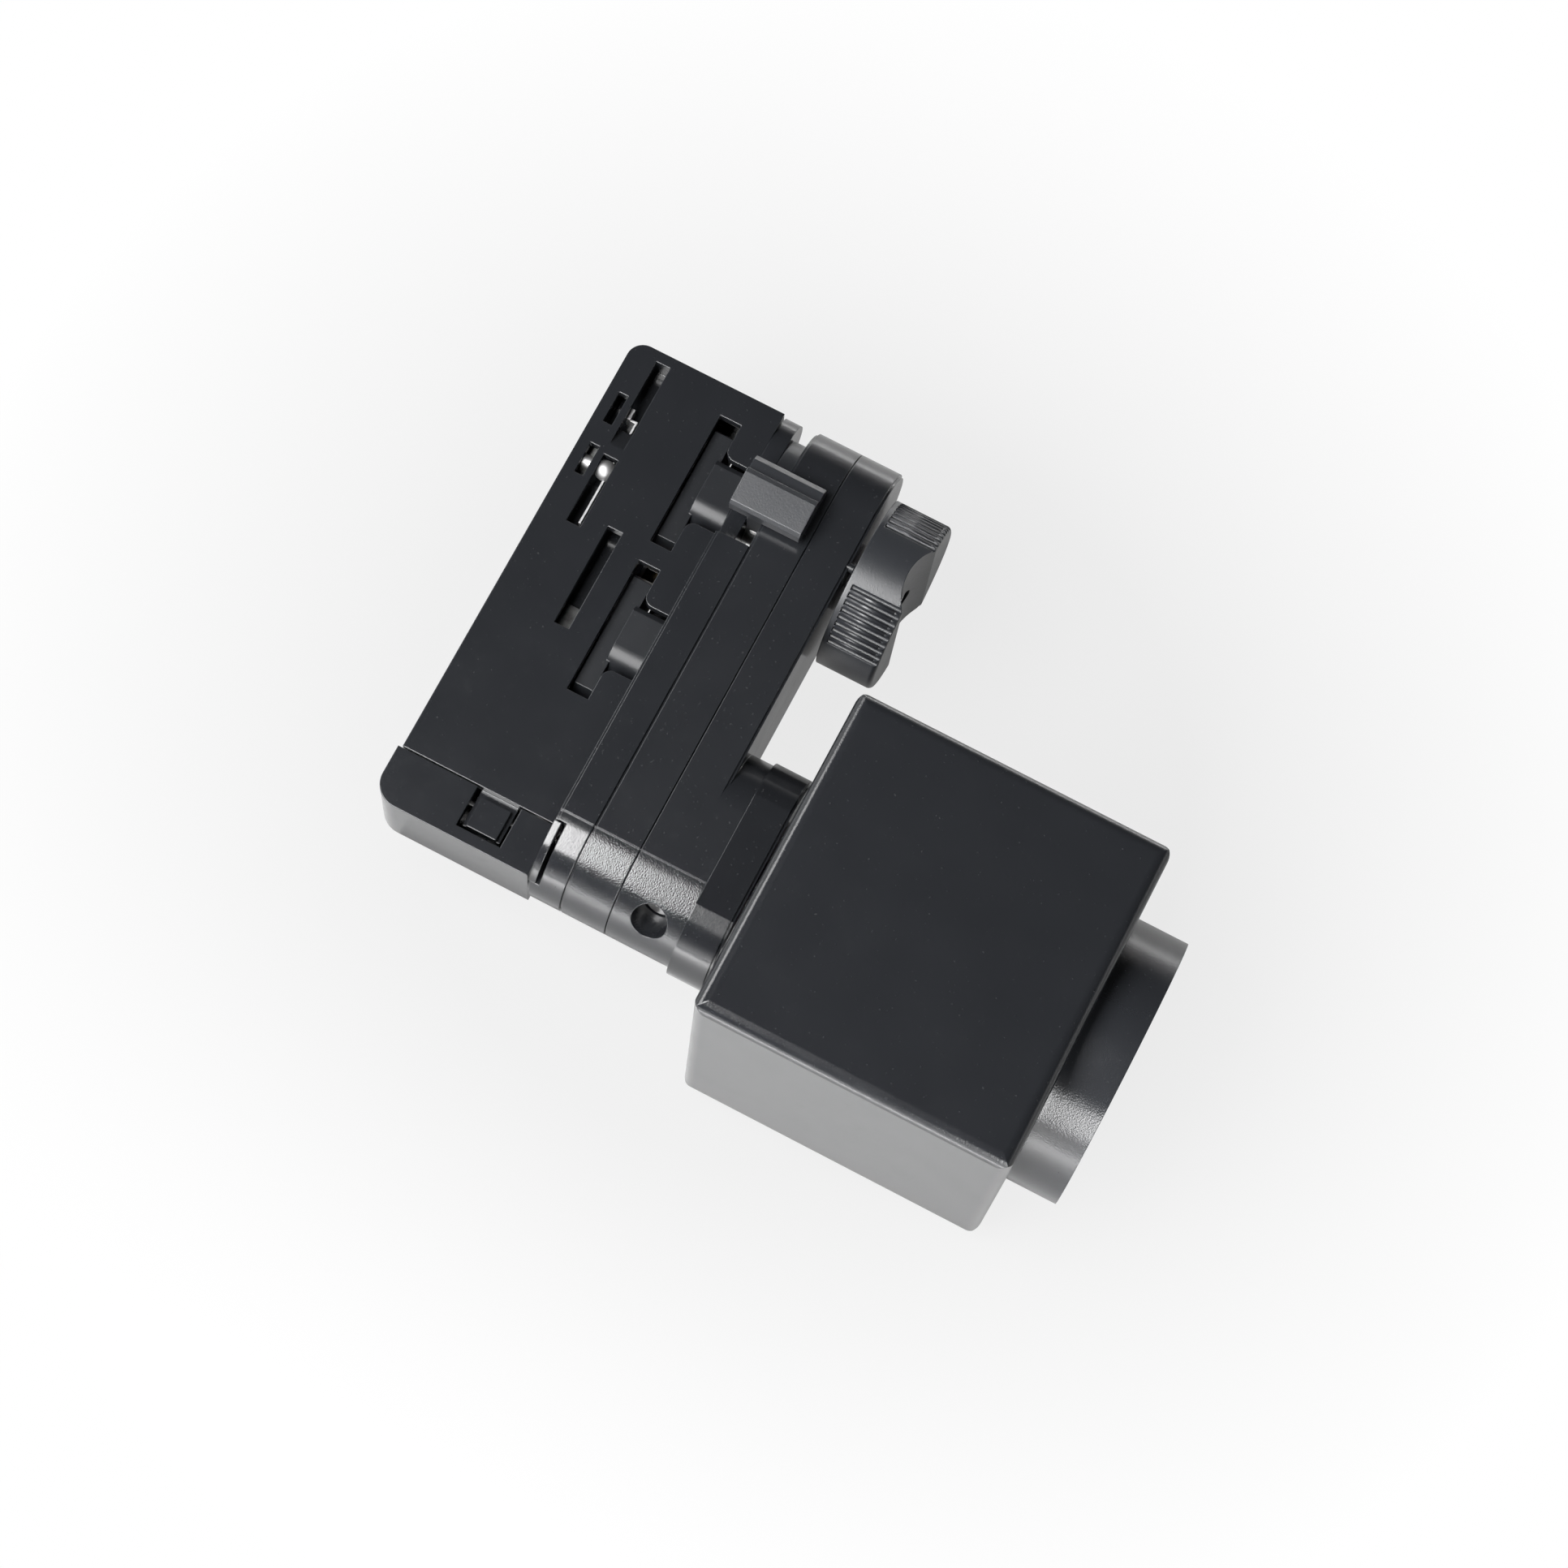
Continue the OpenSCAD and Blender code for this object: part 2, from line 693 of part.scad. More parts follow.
// Profile of the knob with a rounded edge at its end
module knob_profile() {
    translate([0, knob_end]) square([knob_r - knob_edge, knob_top - knob_end]);
    translate([0, knob_end + knob_edge]) square([knob_r, knob_top - knob_end - knob_edge]);
    translate([knob_r - knob_edge, knob_end + knob_edge]) circle(knob_edge);
}

// Selector knob with ribbed zones and a finger groove right across its end
module selector_knob() {
    color("#4b4c50") translate([knob_x, 0, 0]) difference() {
        union() {
            rotate_extrude() knob_profile();
            rod(0, 0, shaft_r + 3, knob_top - 1, z_lower - hub_gap);
        }
        for (zone = [0:rib_zones - 1], i = [0:ribs_per_zone - 1])
            rotate(first_zone + zone * zone_angle + (i - (ribs_per_zone - 1) / 2) * rib_step)
                rod(knob_r, 0, rib_r, knob_end - 1, knob_top - 0.8, $fn = 16);
        translate([0, 0, knob_end + scoop_depth - scoop_r]) rotate([0, 90, scoop_angle])
            cylinder(r = scoop_r, h = 4 * knob_r, center = true);
        rod(0, 0, shaft_r + seat_clear, knob_end + screw_sink + screw_floor, z_lower + 1);
        rod(0, 0, small_head_r + small_room, knob_end - 1, knob_end + screw_sink);
        rod(0, 0, small_screw_r + seat_clear, knob_end - 1, knob_top);
    }
}

// Shaft from the knob up to the first rotor
module selector_shaft() {
    seat = knob_end + screw_sink;
    color("#8d8e8c") difference() {
        rod(knob_x, 0, shaft_r, seat + screw_floor, bore_top - seat_clear);
        rod(knob_x, 0, small_screw_r + seat_clear, seat, seat + knob_screw_len + small_room);
    }
}

// Screw in the middle of the knob
module knob_screw() {
    color("#77787a") translate([knob_x, 0, knob_end + screw_sink]) small_screw(knob_screw_len);
}

// Rotor with a drum, a contact arm and a crank pin, pocketed for its tips
module rotor(x, bore) {
    translate([x, 0, 0]) difference() {
        union() {
            rod(0, 0, drum_r, pass_clear / 2, arm_z + 0.5);
            translate([0, 0, pass_clear / 2]) linear_extrude(arm_z + 0.5 - pass_clear / 2) wing_plan();
            translate([0, 0, arm_z]) linear_extrude(arm_t) arm_plan();
            rotate(crank_angle) rod(crank_r, 0, pin_r, arm_z, link_z + link_t + pass_clear);
        }
        rod(0, 0, bore, -1, bore_top);
        for (side = [-1, 1])
            translate([side * (arm_r + tip_from) / 2, 0, arm_z + arm_t / 2])
                cube([arm_r - tip_from, tip_w, arm_t + 2], center = true);
    }
}

// Plan of the locking wing that fills the window under a contact slot
module wing_plan() {
    intersection() {
        circle(wing_r);
        translate([-wing_half, wing_y]) square([2 * wing_half, -wing_y]);
        union() {
            translate([wing_edge - wing_half, -track_w]) square([2 * wing_half, 2 * track_w]);
            translate([-wing_half, wing_y + wing_edge]) square([2 * wing_half, track_w]);
            translate([wing_edge - wing_half, wing_y + wing_edge]) circle(wing_edge);
        }
    }
}

// Plan of a contact arm, cut from a disc
module arm_plan() {
    intersection() {
        circle(arm_r);
        square([2 * arm_r, arm_w], center = true);
    }
}

// Metal tips in both ends of a contact arm
module tips(x) {
    for (side = [-1, 1]) translate([x, 0, arm_z]) linear_extrude(arm_t) intersection() {
        circle(arm_r);
        translate([side * (arm_r + tip_from + seat_clear) / 2, 0])
            square([arm_r - tip_from - seat_clear, tip_w - 2 * seat_clear], center = true);
    }
}

// First rotor, carried on the selector shaft
module contact_rotor_a() {
    color("#38383b") rotor(knob_x, shaft_r + seat_clear);
}

// Metal tips of the first rotor
module rotor_a_tips() {
    color("#c9b47a") tips(knob_x);
}

// Second rotor, turning on the pin of the frame
module contact_rotor_b() {
    color("#38383b") rotor(rotor_b_x, pivot_r + run_clear);
}

// Metal tips of the second rotor
module rotor_b_tips() {
    color("#c9b47a") tips(rotor_b_x);
}

// Link bar that makes the second rotor follow the first
module link_bar() {
    pin_x = crank_r * cos(crank_angle);
    pin_y = crank_r * sin(crank_angle);
    color("#3d3e42") translate([pin_x, pin_y, link_z]) difference() {
        linear_extrude(link_t) {
            translate([rotor_b_x, -link_w / 2]) square([rotor_pitch, link_w]);
            for (x = [rotor_b_x, knob_x]) translate([x, 0]) circle(link_w / 2);
        }
        rod(knob_x, 0, pin_r + run_clear, -1, link_t + 1);
        rod(rotor_b_x, 0, pin_r + pass_clear, -1, link_t + 1);
    }
}

// Disc between the neck block and the head, with its stop lug
module swivel_disc() {
    color("#3a3b3e") difference() {
        union() {
            rod(0, 0, disc_r, z_box, z_neck - pass_clear);
            rotate(-52) block([disc_r - 1, -0.8, z_box], [disc_r + 1, 0.8, z_neck - pass_clear]);
        }
        rod(0, 0, nipple_r + run_clear, z_box - 1, z_neck + 1);
    }
}

// Outside of the head with every edge rounded
module head_outside() {
    module face_plan(w, h) {
        translate([box_r - w / 2, -h / 2]) square([w - 2 * box_r, h]);
        translate([-w / 2, box_r - h / 2]) square([w, h - 2 * box_r]);
        for (sx = [-1, 1], sy = [-1, 1])
            translate([sx * (w / 2 - box_r), sy * (h / 2 - box_r)]) circle(box_r);
    }
    translate([0, 0, (z_box + z_floor) / 2]) intersection() {
        linear_extrude(box_h, center = true) face_plan(box_side, box_side);
        rotate([90, 0, 0]) linear_extrude(box_side, center = true) face_plan(box_side, box_h);
        rotate([90, 0, 90]) linear_extrude(box_side, center = true) face_plan(box_side, box_h);
    }
}

// Box of the head, open above for its lid and below for the collar
module head_box() {
    color("#2a2a2d") difference() {
        union() {
            difference() {
                head_outside();
                block([-cavity_half, -cavity_half, z_floor + box_wall], [cavity_half, cavity_half, z_lid]);
                block([-lid_half, -lid_half, z_lid - 1], [lid_half, lid_half, z_box + 1]);
            }
            for (at = lid_corners) rod(at.x * boss_xy, at.y * boss_xy, boss_r, z_floor + box_wall / 2, z_lid);
        }
        rod(0, 0, collar_r + seat_clear, z_floor - 1, z_floor + box_wall + 1);
        for (at = lid_corners) rod(at.x * boss_xy, at.y * boss_xy, small_screw_r + seat_clear, z_lid - 8, z_lid + 1);
        for (at = socket_corners)
            rod(at.x * boss_xy, at.y * boss_xy, small_screw_r + seat_clear, z_floor + 0.6, z_floor + box_wall + 1);
    }
}

// Lid that closes the head and turns on the nipple
module head_lid() {
    half = lid_half - 2 * seat_clear;
    color("#2a2a2d") difference() {
        block([-half, -half, z_lid], [half, half, z_box]);
        rod(0, 0, nipple_r + run_clear, z_lid - 1, z_box + 1);
        for (at = lid_corners) translate([at.x * boss_xy, at.y * boss_xy, 0]) {
            rod(0, 0, small_screw_r + seat_clear, z_lid - 1, z_box + 1);
            rod(0, 0, small_head_r + 0.15, z_box - small_head_h, z_box + 1);
        }
    }
}

// Two screws that hold the lid
module lid_screws() {
    color("#5f6063") for (at = lid_corners)
        translate([at.x * boss_xy, at.y * boss_xy, z_box - small_head_h]) small_screw(lid_screw_len, false);
}

// Socket moulding: collar round the plug recess, and its mounting flange
module socket_body() {
    flange_z = z_floor + box_wall;
    flange_half = cavity_half - pass_clear;
    color("#242427") difference() {
        union() {
            rod(0, 0, collar_r, z_rim, z_recess);
            block([-flange_half, -flange_half, flange_z], [flange_half, flange_half, flange_z + flange_t]);
        }
        rod(0, 0, recess_r, z_rim - 1, z_recess + 1);
        for (at = lid_corners)
            rod(at.x * boss_xy, at.y * boss_xy, boss_r + pass_clear, flange_z - 1, flange_z + flange_t + 1);
        for (at = socket_corners)
            rod(at.x * boss_xy, at.y * boss_xy, small_screw_r + seat_clear, flange_z - 1, flange_z + flange_t + 1);
    }
}

// Room for one leg of the earth clip
module clip_place(side, room) {
    y0 = side * (clip_in + clip_t / 2) - clip_t / 2;
    translate([-clip_w / 2 - room, y0 - room, 0]) square([clip_w + 2 * room, clip_t + 2 * room]);
}

// Floor of the recess in two halves, each with a post round its pin sleeve
module socket_insert() {
    color("#2b2b2e") for (side = [-1, 1]) difference() {
        union() {
            translate([0, 0, z_recess]) linear_extrude(recess_floor) intersection() {
                circle(collar_r);
                translate([side > 0 ? seat_clear : -2 * collar_r - seat_clear, -2 * collar_r])
                    square([2 * collar_r, 4 * collar_r]);
            }
            rod(side * pin_pitch / 2, 0, sleeve_r + post_wall, z_recess + recess_floor / 2, z_core);
        }
        rod(side * pin_pitch / 2, 0, pin_hole_r + pin_lead, z_recess - 1, z_back + 1);
        rod(side * pin_pitch / 2, 0, sleeve_r + seat_clear, z_back, z_core + 1);
        for (end = [-1, 1])
            translate([0, 0, z_recess - 1]) linear_extrude(recess_floor + 2) clip_place(end, seat_clear);
    }
}

// Two screws that hold the socket in the head
module socket_screws() {
    color("#5f6063") for (at = socket_corners)
        translate([at.x * boss_xy, at.y * boss_xy, z_floor + box_wall + flange_t])
            small_screw(flange_t + box_wall - 0.8, false);
}

// Two sleeves that grip the plug's pins
module pin_sleeves() {
    color("#c9b47a") for (side = [-1, 1]) difference() {
        rod(side * pin_pitch / 2, 0, sleeve_r, z_back, z_core + sleeve_up);
        rod(side * pin_pitch / 2, 0, pin_hole_r, z_recess, z_core - sleeve_wall);
        rod(side * pin_pitch / 2, 0, small_screw_r + seat_clear, z_recess, z_core + 2 * sleeve_up);
    }
}

// Screws on the two sleeves that clamp the wires
module terminal_screws() {
    color("#8d8e8c") for (side = [-1, 1])
        translate([side * pin_pitch / 2, 0, z_core + sleeve_up]) small_screw(terminal_len, false);
}

// Earth clips on both sides of the recess, bridged behind its floor
module earth_clip() {
    color("#c4c3be") union() {
        for (side = [-1, 1])
            translate([0, 0, z_rim + clip_rim]) linear_extrude(z_back + clip_t - z_rim - clip_rim)
                clip_place(side, 0);
        block([-clip_w / 2, -clip_in - clip_t, z_back], [clip_w / 2, clip_in + clip_t, z_back + clip_t]);
    }
}

track_frame();
side_cover();
end_cap();
base_upper();
base_lower();
neck_block();
base_screws();
set_screw();
hollow_nipple();
nipple_nut();
swivel_nut();
friction_washer();
supply_wires();
line_contact();
neutral_contact();
earth_contact();
lock_lever();
selector_knob();
selector_shaft();
knob_screw();
contact_rotor_a();
rotor_a_tips();
link_bar();
contact_rotor_b();
rotor_b_tips();
swivel_disc();
head_box();
head_lid();
lid_screws();
socket_body();
socket_screws();
pin_sleeves();
terminal_screws();
earth_clip();
socket_insert();
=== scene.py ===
import json
import math

import bpy
from mathutils import Matrix, Vector


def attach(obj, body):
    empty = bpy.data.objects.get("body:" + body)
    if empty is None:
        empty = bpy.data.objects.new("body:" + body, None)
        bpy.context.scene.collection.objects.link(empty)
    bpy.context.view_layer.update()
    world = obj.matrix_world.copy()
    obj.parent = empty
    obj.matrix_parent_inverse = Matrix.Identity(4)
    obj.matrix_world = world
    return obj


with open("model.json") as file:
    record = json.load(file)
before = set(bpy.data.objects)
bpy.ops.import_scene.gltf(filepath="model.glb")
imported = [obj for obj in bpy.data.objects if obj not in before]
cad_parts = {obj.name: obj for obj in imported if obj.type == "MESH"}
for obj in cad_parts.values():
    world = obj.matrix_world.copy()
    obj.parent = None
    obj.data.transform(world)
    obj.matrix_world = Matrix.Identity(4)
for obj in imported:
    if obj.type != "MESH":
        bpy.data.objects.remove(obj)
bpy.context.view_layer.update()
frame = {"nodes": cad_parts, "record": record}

MM = 0.001

# Middle of the adapter, which the lamps face
MIDDLE = (25.0 * MM, 0.0, -25.0 * MM)


def find(sockets, name):
    """A socket by its number, identifier or name."""
    if isinstance(name, int):
        return sockets[name]
    for socket in sockets:
        if socket.identifier == name:
            return socket
    return sockets[name]


class Link:
    """An output of a shader node that takes part in sums."""

    def __init__(self, board, socket):
        self.board = board
        self.socket = socket

    def maths(self, operation, first, second):
        return self.board.node("ShaderNodeMath", {"operation": operation}, {0: first, 1: second})["Value"]

    def __add__(self, other):
        return self.maths("ADD", self, other)

    def __radd__(self, other):
        return self.maths("ADD", other, self)

    def __sub__(self, other):
        return self.maths("SUBTRACT", self, other)

    def __rsub__(self, other):
        return self.maths("SUBTRACT", other, self)

    def __mul__(self, other):
        return self.maths("MULTIPLY", self, other)

    def __rmul__(self, other):
        return self.maths("MULTIPLY", other, self)

    def most(self, other):
        return self.maths("MAXIMUM", self, other)

    def least(self, other):
        return self.maths("MINIMUM", self, other)

    def over(self, other):
        return self.maths("GREATER_THAN", self, other)


class Made:
    """A shader node whose outputs are asked for by name."""

    def __init__(self, board, made):
        self.board = board
        self.made = made

    def __getitem__(self, name):
        return Link(self.board, find(self.made.outputs, name))


# Places where a soft normal leaves the plain one count as edges
EDGE_SAMPLES = 6
EDGE_GAIN = 6.0


class Board:
    """The node tree of one finish, or of the room."""

    def __init__(self, owner):
        owner.use_nodes = True
        self.tree = owner.node_tree
        self.tree.nodes.clear()

    def node(self, kind, settings=None, inputs=None):
        made = self.tree.nodes.new(kind)
        for name, value in (settings or {}).items():
            if name == "stops":
                self.set_stops(made.color_ramp, value)
            else:
                setattr(made, name, value)
        for name, value in (inputs or {}).items():
            socket = find(made.inputs, name)
            if isinstance(value, Link):
                self.tree.links.new(value.socket, socket)
            else:
                socket.default_value = value
        return Made(self, made)

    def set_stops(self, ramp, stops):
        while len(ramp.elements) < len(stops):
            ramp.elements.new(1.0)
        for element, (place, level) in zip(ramp.elements, stops):
            element.position = place
            element.color = (level, level, level, 1.0)

    def places(self):
        return self.node("ShaderNodeTexCoord")["Object"]

    def axes(self, vector):
        return self.node("ShaderNodeSeparateXYZ", None, {"Vector": vector})

    def noise(self, size, detail=2.0, roughness=0.5, places=None):
        """Noise whose blots are about one size across, in metres, from 0 to 1."""
        sockets = {"Vector": places or self.places(), "Scale": 1.0 / size, "Detail": detail,
                   "Roughness": roughness}
        return self.node("ShaderNodeTexNoise", {"noise_dimensions": "3D"}, sockets)["Fac"]

    def steps(self, value, stops):
        return self.node("ShaderNodeValToRGB", {"stops": stops}, {"Fac": value})["Color"]

    def blend(self, amount, first, second):
        sockets = {"Factor_Float": amount, "A_Color": first, "B_Color": second}
        return self.node("ShaderNodeMix", {"data_type": "RGBA"}, sockets)["Result_Color"]

    def rounded(self, radius):
        """Normals that run round each sharp edge, and how much of an edge each place is."""
        soft = self.node("ShaderNodeBevel", {"samples": EDGE_SAMPLES}, {"Radius": radius})["Normal"]
        plain = self.node("ShaderNodeNewGeometry")["Normal"]
        same = self.node("ShaderNodeVectorMath", {"operation": "DOT_PRODUCT"}, {0: soft, 1: plain})["Value"]
        edge = ((1.0 - same) * EDGE_GAIN).least(1.0).most(0.0)
        return soft, edge

    def bump(self, height, distance, normal):
        sockets = {"Height": height, "Distance": distance, "Strength": 1.0, "Normal": normal}
        return self.node("ShaderNodeBump", None, sockets)["Normal"]

    def finish(self, shader):
        self.node("ShaderNodeOutputMaterial", None, {"Surface": shader})


PLAIN = (1.0, 1.0, 1.0)
BLUISH = (0.93, 1.0, 1.15)


def grey(level, tint=PLAIN):
    """A grey as linear colour, with a faint tint."""
    return (level * tint[0], level * tint[1], level * tint[2], 1.0)


# Moulded plastic: the sizes of its marks, and how much they show
PLASTIC_EDGE = 0.22 * MM
FLOW_SIZE = 9.0 * MM
SCUFF_SIZE = 2.2 * MM
SCUFF_STOPS = ((0.56, 0.0), (0.78, 1.0))
DUST_SIZE = 0.5 * MM
DUST_STOPS = ((0.70, 0.0), (0.78, 1.0))
DUST_SHARE = 0.05
DUST_LEVEL = 0.25
FLOW_DARK = 0.92
FLOW_PALE = 1.08
EDGE_WEAR = 0.35
SCUFF_WEAR = 0.4
WORN_GAIN = 1.6
WORN_LIFT = 0.012
ROUGH_DROP = 0.06
ROUGH_BY_FLOW = 0.08
ROUGH_BY_SCUFF = 0.05
ROUGH_BY_EDGE = 0.08
ROUGH_BY_GRAIN = 0.04
PLASTIC_IOR = 1.5

# The base is grained behind this X, and almost smooth in front of it
GRAIN_STARTS = -4.5 * MM
GRAIN_FADE = 2.0 * MM
SMOOTH_SHARE = 0.10
GRAINED_SHARE = 0.90


def moulded_plastic(name, level, rough, grain, depth, rear_only=False, tint=BLUISH, shine=0.5):
    """Moulded plastic: faint flow marks, a grain of its own, and edges rubbed a little paler."""
    made = bpy.data.materials.new(name)
    board = Board(made)
    soft, edge = board.rounded(PLASTIC_EDGE)
    flow = board.noise(FLOW_SIZE, detail=3.0)
    fine = board.noise(grain, detail=1.0, roughness=0.4)
    scuff = board.steps(board.noise(SCUFF_SIZE, detail=4.0, roughness=0.7), SCUFF_STOPS)
    dust = board.steps(board.noise(DUST_SIZE, detail=1.0), DUST_STOPS)
    body = board.blend(flow, grey(level * FLOW_DARK, tint), grey(level * FLOW_PALE, tint))
    worn = grey(level * WORN_GAIN + WORN_LIFT, tint)
    rubbed = board.blend(edge * (EDGE_WEAR + scuff * SCUFF_WEAR), body, worn)
    colour = board.blend(dust * DUST_SHARE, rubbed, grey(DUST_LEVEL))
    marked = rough - ROUGH_DROP + flow * ROUGH_BY_FLOW + scuff * ROUGH_BY_SCUFF
    roughness = marked - edge * ROUGH_BY_EDGE + fine * ROUGH_BY_GRAIN
    height = fine
    if rear_only:
        rear = ((GRAIN_STARTS - board.axes(board.places())["X"]) * (1.0 / GRAIN_FADE)).most(0.0).least(1.0)
        height = fine * (SMOOTH_SHARE + rear * GRAINED_SHARE)
    normal = board.bump(height, depth, soft)
    shader = board.node("ShaderNodeBsdfPrincipled", None, {
        "Base Color": colour, "Roughness": roughness, "Normal": normal, "IOR": PLASTIC_IOR,
        "Specular IOR Level": shine})
    board.finish(shader["BSDF"])
    return made


# Plated metal: the sizes of its marks, and how much they show
METAL_EDGE = 0.12 * MM
LINE_SIZE = 0.12 * MM
LINE_DEPTH = 0.006 * MM
FILM_SIZE = 1.6 * MM
FILM_STOPS = ((0.42, 0.0), (0.68, 1.0))
ROUGH_BY_FILM = 0.16
ROUGH_BY_LINES = 0.08
ROUGH_BY_METAL_EDGE = 0.06

# How far the drawn lines of a metal stretch, by its pieces' direction
ALONG_STRIP = (0.06, 1.0, 1.0)
ALONG_SLEEVE = (0.1, 1.0, 1.0)
ALONG_SCREW = (1.0, 1.0, 0.08)


def plated_metal(name, colour, shade, rough, stretch):
    """Bright metal with fine drawn lines and a thin uneven film."""
    made = bpy.data.materials.new(name)
    board = Board(made)
    soft, edge = board.rounded(METAL_EDGE)
    along = board.node("ShaderNodeMapping", None, {"Vector": board.places(), "Scale": stretch})["Vector"]
    lines = board.noise(LINE_SIZE, detail=2.0, roughness=0.6, places=along)
    film = board.noise(FILM_SIZE, detail=4.0, roughness=0.6)
    dull = board.blend(board.steps(film, FILM_STOPS), colour, shade)
    roughness = rough + film * ROUGH_BY_FILM + lines * ROUGH_BY_LINES - edge * ROUGH_BY_METAL_EDGE
    normal = board.bump(lines, LINE_DEPTH, soft)
    shader = board.node("ShaderNodeBsdfPrincipled", None, {
        "Base Color": dull, "Metallic": 1.0, "Roughness": roughness, "Normal": normal})
    board.finish(shader["BSDF"])
    return made


# Sheaths of the wires
BROWN_SHEATH = (0.10, 0.04, 0.015, 1.0)
BLUE_SHEATH = (0.02, 0.07, 0.32, 1.0)
GREEN_SHEATH = (0.12, 0.30, 0.03, 1.0)
SHEATH_EDGE = 0.1 * MM
SHEATH_FILM = 0.8 * MM
SHEATH_DEPTH = 0.01 * MM
SHEATH_SOIL = 0.03
SOIL_SHARE = 0.3
SHEATH_ROUGH = 0.34
SHEATH_BY_FILM = 0.2
SHEATH_BY_EDGE = 0.02


def wire_sleeving(name):
    """Sheath of the three wires, each in its own colour by its place round the axis."""
    made = bpy.data.materials.new(name)
    board = Board(made)
    soft, edge = board.rounded(SHEATH_EDGE)
    apart = board.axes(board.places())
    pair = board.blend(apart["Y"].over(0.0), GREEN_SHEATH, BLUE_SHEATH)
    sheath = board.blend(apart["X"].over(0.0), pair, BROWN_SHEATH)
    film = board.noise(SHEATH_FILM, detail=3.0)
    colour = board.blend(film * SOIL_SHARE, sheath, grey(SHEATH_SOIL))
    roughness = SHEATH_ROUGH + film * SHEATH_BY_FILM - edge * SHEATH_BY_EDGE
    normal = board.bump(film, SHEATH_DEPTH, soft)
    shader = board.node("ShaderNodeBsdfPrincipled", None, {
        "Base Color": colour, "Roughness": roughness, "Normal": normal})
    board.finish(shader["BSDF"])
    return made


BRASS = (0.74, 0.56, 0.26, 1.0)
DARK_BRASS = (0.45, 0.30, 0.13, 1.0)

# Finish of each material slot
FINISHES = {
    "cover_plastic": moulded_plastic(
        "satin_black_cover", level=0.0095, rough=0.16, grain=0.30 * MM, depth=0.006 * MM),
    "base_plastic": moulded_plastic(
        "spark_eroded_base", level=0.0095, rough=0.19, grain=0.20 * MM, depth=0.024 * MM, rear_only=True),
    "control_plastic": moulded_plastic(
        "grey_grip_plastic", level=0.016, rough=0.33, grain=0.26 * MM, depth=0.012 * MM),
    "rotor_plastic": moulded_plastic(
        "rotor_moulding", level=0.010, rough=0.32, grain=0.30 * MM, depth=0.006 * MM, shine=0.28),
    "head_plastic": moulded_plastic(
        "semi_matte_head", level=0.010, rough=0.16, grain=0.26 * MM, depth=0.012 * MM),
    "socket_plastic": moulded_plastic(
        "spark_eroded_collar", level=0.014, rough=0.19, grain=0.20 * MM, depth=0.018 * MM),
    "washer_plastic": moulded_plastic(
        "pale_washer", level=0.55, rough=0.45, grain=0.3 * MM, depth=0.003 * MM, tint=PLAIN),
    "wire_sheath": wire_sleeving("wire_sheath"),
    "zinc_steel": plated_metal(
        "zinc_plated_steel", grey(0.62), grey(0.40), rough=0.24, stretch=ALONG_SCREW),
    "brass": plated_metal(
        "plain_brass", BRASS, DARK_BRASS, rough=0.22, stretch=ALONG_SLEEVE),
    "tinned_spring": plated_metal(
        "tinned_spring_strip", grey(0.50), grey(0.34), rough=0.40, stretch=ALONG_STRIP),
}

# Pieces whose finish is not that of their slot
OWN_FINISHES = {
    "neck_block": moulded_plastic(
        "smooth_neck", level=0.008, rough=0.15, grain=0.30 * MM, depth=0.004 * MM),
    # The line contact's metal is painted nearly black: painted shade for the shadow it lies in deep in its
    # slot
    "line_contact": plated_metal(
        "dull_contact", grey(0.07), grey(0.04), rough=0.42, stretch=ALONG_STRIP),
}


def dress_nodes():
    """Gives each CAD piece its own finish, or that of its slot."""
    for part in frame["record"]["subparts"]:
        piece = frame["nodes"][part["node"]]
        piece.data.materials.clear()
        piece.data.materials.append(OWN_FINISHES.get(part["node"], FINISHES[part["material_slot"]]))


# Selector knob and the ridges of its grip, with angles in degrees
KNOB_X = 48.5 * MM
KNOB_R = 13.4 * MM
KNOB_TOP = -20.8 * MM
KNOB_END = -29.9 * MM
GROOVES = 9
GROOVE_STEP = 5.2
GROOVE_ZONES = 4
FIRST_ZONE = -134.0
RIDGE_WIDTH = 0.62 * MM
RIDGE_SINK = 0.1 * MM
RIDGE_TOP_GAP = 0.9 * MM
RIDGE_END_GAP = 1.0 * MM
RIDGE_SIDES = 12
RIDGE_RISE = 0.45


